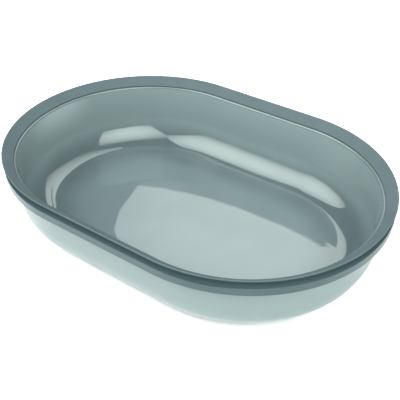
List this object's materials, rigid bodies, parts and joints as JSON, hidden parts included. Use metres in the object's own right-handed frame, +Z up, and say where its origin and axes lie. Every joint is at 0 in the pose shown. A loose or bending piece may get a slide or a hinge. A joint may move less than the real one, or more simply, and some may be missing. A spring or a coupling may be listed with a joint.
{
  "type": "kidney dish",
  "caption": "Shallow obround dish in translucent grey-green plastic, with a leaning wall, a flat floor, a flange and a soft matte ring round its mouth.",
  "frame": {"origin": "on the table under the dish's centre", "axes": "+X along the dish's length, +Y across it, +Z up out of its mouth"},
  "size_m": [0.2, 0.14, 0.0394],
  "materials": {
    "shell_plastic": "glossy, translucent",
    "ring_rubber": "matte"
  },
  "bodies": {
    "root": {"dish_shell": "shell_plastic", "rim_ring": "ring_rubber"}
  },
  "joints": []
}
